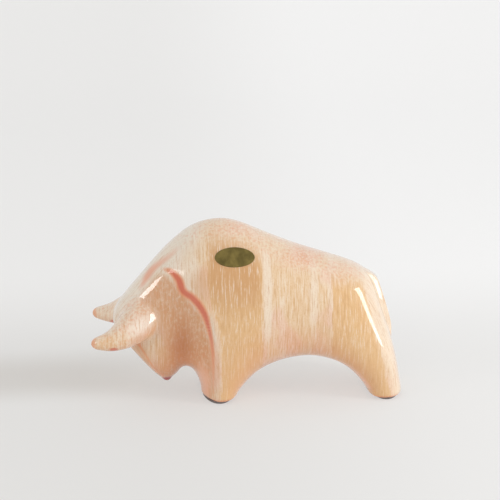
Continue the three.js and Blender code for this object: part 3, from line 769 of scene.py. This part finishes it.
def horn_masks(places, up, horn):
    """A horn's outer length, its far side laid paler as painted light, its white root partly a painted
    sheen, its tip and red drip.
    """
    x, y, _ = places.T
    return {
        "horn": horn * ramp(-92, -100, x),
        # Painted light: the far horn laid paler, as lit from the left and behind
        "far_horn_light": horn * ramp(5, 25, y),
        # White root, partly glaze and partly painted sheen
        "horn_root_pale_and_sheen": horn * spot(places, WHITE_HORN_ROOT_AND_SHEEN) * ramp(0.9, 0.5, up) * ramp(-0.5, 0.3, up),
        "tip": horn * np.maximum(ramp(-127, -134, x), ramp(-0.75, -0.95, up) * ramp(-104, -112, x)),
        "drip": horn * spot(places, HORN_DRIP) * ramp(-0.2, -0.55, up),
    }


def glaze_masks(places, directions, horn):
    """The glaze's zones at each point, as shares from 0 to 1."""
    x, y, z = places.T
    forward, up = directions[:, 0], directions[:, 2]
    arch_distance, _, _ = beside(places[:, [0, 2]] - (0, SOLE), ARCH[:, 1:])
    from_drop = np.hypot(x - DROP_PLACE[0], y - DROP_PLACE[1] + DROP_RED_OUT) / DROP_RED_RADIUS
    zones = band_masks(places, up) | hollow_masks(places, forward, horn) | horn_masks(places, up, horn)
    return zones | {
        # Up-facing surfaces; the pale laid on them is a painted sheen
        "top": ramp(0.45, 0.92, up),
        # Surfaces facing down, where orange is laid as painted shade
        "under": ramp(0.05, -0.55, up) * (1 - 0.6 * horn),
        "low": ramp(70, 30, z),
        "ends": ramp(0.35, 0.75, np.abs(forward)),
        "rim": ramp(9, 2, arch_distance) * ramp(0.3, -0.1, up) * ramp(4, 12, z),
        "foot": ramp(3.5, 0.5, z - SOLE),
        "leg": spot(places, PINK_LEG),
        # Painted shade on the shoulder
        "shoulder": spot(places, SHOULDER_SHADE),
        "rose": np.maximum(spot(places, HUMP_ROSE) * 0.8, spot(places, BACK_ROSE)),
        "matt": np.maximum.reduce([spot(places, patch) for patch in MATT_PATCHES]),
        "red": line_mask(places, RED_LINE),
        "neck": line_mask(places, NECK_LINE, 2),
        "face": line_mask(places, FACE_LINE, 8),
        "drop": np.exp(-(from_drop**6)) * (z < DROP_RED_TOP),
    }


def rgb(red, green, blue):
    """A colour given in screen values, 0 to 255, as the linear one that a shader takes."""
    parts = np.array([red, green, blue]) / 255
    return (*np.where(parts < 0.04045, parts / 12.92, ((parts + 0.055) / 1.055) ** 2.4), 1.0)


class Wire:
    """One output of a shader node. Arithmetic on it adds the Math nodes that work it out."""

    def __init__(self, paint, socket):
        self.paint, self.socket = paint, socket

    def __add__(self, other):
        return self.paint.math("ADD", self, other)

    def __sub__(self, other):
        return self.paint.math("SUBTRACT", self, other)

    def __rsub__(self, other):
        return self.paint.math("SUBTRACT", other, self)

    def __mul__(self, other):
        return self.paint.math("MULTIPLY", self, other)

    __radd__ = __add__
    __rmul__ = __mul__


class Paint:
    """A material's nodes. Every node comes from add: its settings are set first, then its sockets."""

    def __init__(self, name):
        self.material = bpy.data.materials.new(name)
        self.material.use_nodes = True
        self.tree = self.material.node_tree
        self.tree.nodes.clear()

    def add(self, kind, sockets=None, **settings):
        """A node with its settings and sockets, which take a value or a wire."""
        node = self.tree.nodes.new(kind)
        for name, value in settings.items():
            setattr(node, name, value)
        for name, value in (sockets or {}).items():
            if isinstance(value, Wire):
                self.tree.links.new(value.socket, node.inputs[name])
            else:
                node.inputs[name].default_value = value
        return node

    def wire(self, kind, sockets=None, output=0, **settings):
        """One output of a new node."""
        return Wire(self, self.add(kind, sockets, **settings).outputs[output])

    def math(self, operation, *values):
        """A Math node's result for values or wires."""
        return self.wire("ShaderNodeMath", dict(enumerate(values)), operation=operation)

    def place(self):
        """The place on the object, in metres."""
        return self.wire("ShaderNodeTexCoord", output="Object")

    def noise(self, place, scales, detail=2.0, rough=0.5):
        """Noise from 0 to 1, with a scale per metre along each axis."""
        stretched = self.wire("ShaderNodeVectorMath", {0: place, 1: scales}, operation="MULTIPLY")
        sockets = {"Vector": stretched, "Scale": 1.0, "Detail": detail, "Roughness": rough}
        return self.wire("ShaderNodeTexNoise", sockets)

    def drawn(self, place, ends, pitch, run, detail, rough):
        """Noise in vertical streaks: pitch per metre along the flank and run per metre down it, turned
        to go across where the surface faces one end."""
        along_flank = self.noise(place, (pitch, run, run), detail, rough)
        across_end = self.noise(place, (run, pitch, run), detail, rough)
        return along_flank * (1 - ends) + across_end * ends

    def spread(self, value, low, high, to_low=0.0, to_high=1.0):
        """A value's stretch from low to high brought to another stretch by an even S."""
        sockets = dict(enumerate((value, low, high, to_low, to_high)))
        return self.wire("ShaderNodeMapRange", sockets, interpolation_type="SMOOTHSTEP")

    def mix(self, below, above, share):
        """One colour laid over another by a share."""
        return self.wire("ShaderNodeMix", {0: share, 6: below, 7: above}, output=2, data_type="RGBA")

    def mask(self, name):
        """A zone of the glaze, stored on the piece's points."""
        return self.wire("ShaderNodeAttribute", output="Fac", attribute_name=name)

    def finish(self, sockets):
        """The material, with one surface shader on these sockets."""
        surface = self.wire("ShaderNodeBsdfPrincipled", sockets)
        self.add("ShaderNodeOutputMaterial", {"Surface": surface})
        return self.material


# The glaze's colours
CREAM = rgb(231, 199, 160)
PALE = rgb(240, 222, 200)
WHITE = rgb(248, 236, 222)
# Pale muted colour of the head's front, partly painted light
MUTED = rgb(234, 225, 210)
OCHRE = rgb(227, 184, 130)
TAN = rgb(204, 150, 94)
# Colour of the painted shade in the sunk panel
PANEL_SHADE_BROWN = rgb(206, 145, 96)
# Colour of the painted shade in the cheek's hollow
SHADE_UMBER = rgb(178, 102, 50)
ROSE = rgb(230, 168, 138)
SALMON = rgb(246, 190, 158)
ORANGE = rgb(228, 146, 96)
BRICK = rgb(206, 88, 56)
DARK_RED = rgb(170, 38, 24)

# Colours of the felt, the foil and the paper
FELT_DARK = rgb(92, 88, 88)
FELT_LIGHT = rgb(158, 150, 146)
FOIL_DARK = rgb(102, 89, 46)
FOIL_LIGHT = rgb(140, 123, 68)
PAPER_LIT = rgb(240, 239, 237)
# The paper's plain colour, darker near the front and brighter at the wall, as painted light
PAPER_NEAR = rgb(225, 224, 222)
PAPER_FAR = rgb(254, 254, 254)
# Colour of a painted shadow on the floor left of the figure
PAPER_SHADOW = rgb(206, 202, 197)
PAPER_PLAIN = 0.66


class Glaze(Paint):
    """The glaze's patterns, and its layers in the order in which they lie on one another."""

    def __init__(self, name):
        super().__init__(name)
        place = self.place()
        ends = self.mask("ends")
        self.fine = self.drawn(place, ends, pitch=1150, run=90, detail=3, rough=0.65)
        self.thread = self.drawn(place, ends, pitch=800, run=34, detail=2, rough=0.5)
        self.broad = self.drawn(place, ends, pitch=120, run=10, detail=2, rough=0.5)
        self.cloud = self.noise(place, (48, 48, 34), 2, 0.5)
        self.patch = self.noise(place, (24, 24, 16), 1, 0.5)
        self.grain = self.noise(place, (900, 900, 700), 2, 0.6)
        self.mottle = self.noise(place, (480, 480, 300), 3, 0.6)
        self.streak = self.fine * 0.75 + self.thread * 0.25
        self.horn, self.top, self.panel = self.mask("horn"), self.mask("top"), self.mask("panel")
        ochre = self.mask("band") + (self.broad - 0.5) * 0.7 + (self.fine - 0.5) * 0.9
        self.ochre = self.spread(ochre, 0.3, 0.6) * (1 - self.top) * (1 - self.panel)

    def ragged(self, mask, pattern, amount, low, high):
        """A zone whose edge a pattern makes ragged."""
        return self.spread(self.mask(mask) + (pattern - 0.5) * amount, low, high)

    def laid(self, colour, layers):
        """Layers of colour laid over one another, each by its own share."""
        for above, share in layers:
            colour = self.mix(colour, above, share)
        return colour

    def washes_and_painted_light(self):
        """Cream washed with pale and rose, ochre in its bands, brown painted shade in the panel, a pale
        painted sheen on top, and painted light on the head and horns.
        """
        broad_pale = self.spread(self.broad + (self.cloud - 0.5) * 0.9, 0.42, 0.7)
        rosy = self.spread(self.patch + (self.cloud - 0.5) * 0.9, 0.46, 0.72)
        return self.laid(CREAM, [
            (PALE, broad_pale * 0.8),
            (ROSE, rosy * 0.42),
            (OCHRE, self.ochre * 0.92),
            (TAN, self.ochre * self.mask("tan") * 0.75),
            (PALE, self.ragged("strip", self.thread, 0.8, 0.25, 0.8) * 0.8),
            # Painted shade: brown over the sunk panel
            (PANEL_SHADE_BROWN, self.panel * 0.9),
            # Painted sheen: pale laid over the up-facing surfaces
            (PALE, self.top * 0.45),
            (ROSE, self.ragged("rose", self.grain, 1.6, 0.4, 1.2) * 0.6),
            (PALE, self.mask("rump") * 0.75),
            (TAN, self.horn * 0.2),
            # Partly pale glaze, partly painted light on the forward-facing head
            (MUTED, self.mask("crown") * 0.85),
            # Painted light: pale over the far horn
            (PALE, self.mask("far_horn_light") * 0.5),
            # Partly white glaze, partly a painted sheen on the horn root
            (WHITE, self.mask("horn_root_pale_and_sheen") * 0.9),
        ])

    def streaked(self, colour):
        """Tan and pale streaks down the sides, and speckles on top, in the panel and on the horns."""
        quiet_top = 1 - self.top * (0.6 - self.horn * 0.5)
        strength = quiet_top * (1 - self.ochre * self.mask("low") * 0.5)
        speckled = self.spread(self.top + self.panel * 0.5, 0.0, 0.9)
        pale_speckled = self.spread(speckled + self.horn, 0.0, 1.0)
        return self.laid(colour, [
            (TAN, self.spread(self.streak, 0.5, 0.63) * 0.52 * strength),
            (PALE, self.spread(self.streak, 0.49, 0.37) * 0.64 * strength * (1 - self.panel * 0.5)),
            (TAN, self.spread(self.grain, 0.5, 0.7) * 0.22 * (1 - self.top)),
            (ORANGE, self.spread(self.mottle, 0.47, 0.7) * 0.36 * speckled),
            (ORANGE, self.spread(self.mottle, 0.44, 0.72) * 0.3 * self.horn),
            (PALE, self.spread(self.mottle, 0.52, 0.34) * 0.45 * pale_speckled),
        ])

    def painted_shade_and_rims(self, colour):
        """Painted shade in the cheek's hollow, on surfaces facing down and on the shoulder, the front leg's
        salmon lightened as painted light, and warm glaze at the arch's edges.
        """
        return self.laid(colour, [
            # Painted shade: umber in the cheek's hollow
            (SHADE_UMBER, self.mask("hollow_shade") * 0.75),
            # Painted shade: orange on the surfaces that face down
            (ORANGE, self.mask("under") * (0.3 + (self.thread - 0.5) * 0.4)),
            # Pink glaze on the front leg, lightened as painted light
            (SALMON, self.ragged("leg", self.thread, 0.8, 0.1, 0.9) * 0.75),
            # Painted shade: tan over the left of the shoulder
            (TAN, self.ragged("shoulder", self.thread, 1.2, 0.2, 1.0) * 0.5),
            (SALMON, self.ragged("rim", self.thread, 0.6, 0.2, 0.9) * 0.7),
        ])

    def reddened(self, colour):
        """Pink and red where the glaze breaks over a ridge, at the feet, the horn tips and the chin."""
        red = self.mask("red") * (1 + (self.thread - 0.5) * 0.3)
        return self.laid(colour, [
            (ORANGE, self.ragged("face", self.fine, 0.2, 0.15, 0.75) * 0.8),
            (ROSE, self.ragged("neck", self.fine, 0.3, 0.1, 0.8)),
            (ORANGE, self.spread(red, 0.08, 0.5) * 0.7),
            (BRICK, self.spread(red, 0.35, 0.9) * 0.8),
            (ORANGE, self.ragged("foot", self.fine, 1.6, 0.3, 0.9) * 0.8),
            (ORANGE, self.ragged("tip", self.grain, 0.6, 0.2, 0.9) * 0.7),
            (BRICK, self.spread(self.mask("drip"), 0.2, 0.8) * 0.8),
            (DARK_RED, self.mask("drop")),
        ])


def glaze(name):
    """A runny, streaked glaze under a clear gloss, which is dull in a few patches of the neck."""
    paint = Glaze(name)
    colour = paint.reddened(paint.painted_shade_and_rims(paint.streaked(paint.washes_and_painted_light())))
    relief = paint.streak * 0.5 + paint.grain * 0.15
    bump = paint.wire("ShaderNodeBump", {"Strength": 0.12, "Distance": 0.0004, "Height": relief})
    return paint.finish({
        "Base Color": colour,
        "Roughness": 0.42,
        "Specular IOR Level": 0.25,
        "Normal": bump,
        "Coat Weight": 1 - paint.mask("matt") * 0.8,
        "Coat Roughness": 0.035,
        "Coat IOR": 1.6,
    })


def felt():
    """Pressed grey felt: short fibres lie every way, darker between them."""
    paint = Paint("pressed_felt")
    place = paint.place()
    fibre = paint.noise(place, (900, 500, 900), 4, 0.7)
    clump = paint.noise(place, (160, 160, 160), 2, 0.5)
    colour = paint.mix(FELT_DARK, FELT_LIGHT, fibre * 0.7 + clump * 0.3)
    bump = paint.wire("ShaderNodeBump", {"Strength": 0.6, "Distance": 0.0006, "Height": fibre})
    return paint.finish({"Base Color": colour, "Roughness": 0.95, "Specular IOR Level": 0.1, "Normal": bump})


def foil():
    """Dull gold foil on paper, rubbed and slightly wrinkled."""
    paint = Paint("dull_gold_foil")
    place = paint.place()
    wrinkle = paint.noise(place, (260, 260, 380), 3, 0.6)
    rub = paint.noise(place, (90, 90, 70), 3, 0.6)
    colour = paint.mix(FOIL_DARK, FOIL_LIGHT, paint.spread(rub, 0.35, 0.7))
    rough = paint.spread(rub, 0.3, 0.7, 0.4, 0.55)
    bump = paint.wire("ShaderNodeBump", {"Strength": 0.35, "Distance": 0.0005, "Height": wrinkle})
    return paint.finish({"Base Color": colour, "Metallic": 0.75, "Roughness": rough, "Normal": bump})


def glazed_piece(name, places, faces, material, slot, replaced, horn=0.0):
    """A piece that carries the masks of the glaze's zones."""
    masks = glaze_masks(places, normals(places, faces), horn)
    make_piece(name, places, faces, material, slot, replaced, masks)


glazed_piece("bull_body", places, faces, glaze("body_glaze"), "body_glaze", "body_casting")
horn_glaze = glaze("horn_glaze")
for side, horn_name in ((-1, "left_horn"), (1, "right_horn")):
    on_side = places[:, 1] * side > -4
    head = Skin(places[on_side], facing[on_side], (-88, side * 20, 68), 46)
    form = horn_form(side, head)
    glazed_piece(horn_name + "_glazed", *form, horn_glaze, "horn_glaze", horn_name, horn=1.0)
glazed_piece("tail_rib", *tail_form(grids[0]), glaze("tail_glaze"), "tail_glaze", "tail")
felt_pad = felt()
for pad_name, front, back, width in (
    ("front_felt_pad", OUTLINE[0, 1], ARCH[0, 1], FRONT_FOOT_WIDTH),
    ("rear_felt_pad", ARCH[-1, 1], OUTLINE[-1, 1], REAR_FOOT_WIDTH),
):
    form = oval_pad((front + back) / 2, back - front, width)
    make_piece(pad_name[:-3] + "sole", *form, felt_pad, "felt", pad_name)
make_piece("gold_label", *label_form(flank), foil(), "foil", "foil_label")

# The photograph's view: a long lens a little above the figure, turned slightly to its head
VIEW_TURN = -4.0
VIEW_RISE = 17.0
VIEW_DISTANCE = 1.5
VIEW_HEIGHT = 0.12515
PIXELS_PER_METRE = 1000 / 0.839
IMAGE_WIDTH = 500
FILM_WIDTH = 36

# The light: what the lamps look at, and how the light from all round leans to the right, front and top
FIGURE = (0, 0, 0.07)
WORLD_LEAN = (0.045, -0.1, 0.04)
WORLD_STRENGTH = 0.68


def placed(name, data, place, back):
    """A camera or a lamp at a place, with its back turned in a direction."""
    thing = bpy.data.objects.new(name, data)
    thing.location = place
    thing.rotation_euler = back.to_track_quat("Z", "Y").to_euler()
    bpy.context.scene.collection.objects.link(thing)
    return thing


def set_camera():
    """The camera, aimed over the figure's middle from the photograph's side."""
    turn, rise = math.radians(VIEW_TURN), math.radians(VIEW_RISE)
    back = Vector((math.sin(turn) * math.cos(rise), -math.cos(turn) * math.cos(rise), math.sin(rise)))
    target = Vector((SHIFT / 1000, 0, VIEW_HEIGHT))
    lens = bpy.data.cameras.new("view")
    lens.sensor_width = FILM_WIDTH
    lens.lens = FILM_WIDTH * VIEW_DISTANCE * PIXELS_PER_METRE / IMAGE_WIDTH
    bpy.context.scene.camera = placed("view", lens, target + back * VIEW_DISTANCE, back)


def lamp(name, place, size, power):
    """A rectangular soft lamp that looks at the figure."""
    light = bpy.data.lights.new(name, "AREA")
    light.shape = "RECTANGLE"
    light.size, light.size_y = size
    light.energy = power
    placed(name, light, place, Vector(place) - Vector(FIGURE))


def paper():
    """Pale grey paper. The camera and reflections see most of it at its own plain colour, so that it
    looks pale without more light on the figure, and the rest of it lit, which keeps the shadow."""
    paint = Paint("paper")
    lit = paint.wire("ShaderNodeBsdfDiffuse", {"Color": PAPER_LIT})
    parts = paint.add("ShaderNodeSeparateXYZ", {"Vector": paint.place()})
    right, away = Wire(paint, parts.outputs[0]), Wire(paint, parts.outputs[1])
    # Painted light: the paper's plain colour brightens towards the wall and to the right
    rise = paint.spread(away, 0.05, 0.35) * 0.55 + paint.spread(right, -0.1, 0.22) * 0.45
    # Painted shadow: a warm dim band on the floor left of the figure
    behind_head = paint.spread(away, -0.03, 0.03) * paint.spread(away, 0.12, 0.05)
    painted_shadow = behind_head * paint.spread(right, -0.02, -0.16)
    plain = paint.mix(paint.mix(PAPER_NEAR, PAPER_FAR, rise), PAPER_SHADOW, painted_shadow)
    own = paint.wire("ShaderNodeEmission", {"Color": plain})
    kinds = ("Camera", "Glossy", "Transmission")
    rays = [paint.wire("ShaderNodeLightPath", output=f"Is {kind} Ray") for kind in kinds]
    seen = rays[0] + rays[1] + rays[2]
    surface = paint.wire("ShaderNodeMixShader", {0: seen * PAPER_PLAIN, 1: lit, 2: own})
    paint.add("ShaderNodeOutputMaterial", {"Surface": surface})
    return paint.material


def backdrop():
    """A paper sweep: a floor that curves up into a wall behind the figure."""
    near, far, bend, top, half = -5.0, 1.1, 0.8, 2.6, 5.0
    arc = np.linspace(0, np.pi / 2, 24)
    y = np.concatenate([[near], far + bend * np.sin(arc), [far + bend]])
    z = np.concatenate([[0.0], bend * (1 - np.cos(arc)), [top]])
    sides = [np.column_stack([np.full(len(y), x), y, z]) for x in (-half, half)]
    points, quads = joined([np.stack(sides, 1)])
    smooth_object("paper_sweep", points, quads.tolist(), paper())


def set_world():
    """White light from all round, a little stronger from the right, from above and from the front."""
    world = bpy.data.worlds.new("studio")
    bpy.context.scene.world = world
    world.use_nodes = True
    nodes, links = world.node_tree.nodes, world.node_tree.links
    way = nodes.new("ShaderNodeTexCoord")
    lean = nodes.new("ShaderNodeVectorMath")
    lean.operation = "DOT_PRODUCT"
    lean.inputs[1].default_value = WORLD_LEAN
    total = nodes.new("ShaderNodeMath")
    total.inputs[1].default_value = WORLD_STRENGTH
    links.new(way.outputs["Generated"], lean.inputs[0])
    links.new(lean.outputs["Value"], total.inputs[0])
    links.new(total.outputs[0], nodes["Background"].inputs["Strength"])
    nodes["Background"].inputs["Color"].default_value = (1, 1, 1, 1)


set_camera()
backdrop()
set_world()
lamp("right_strip", place=(1.1, -0.5, 0.42), size=(0.26, 0.9), power=6.2)
lamp("left_box", place=(-0.99, -0.67, 0.49), size=(0.45, 0.18), power=2.0)

bpy.context.scene.view_settings.view_transform = "Standard"
bpy.context.view_layer.update()
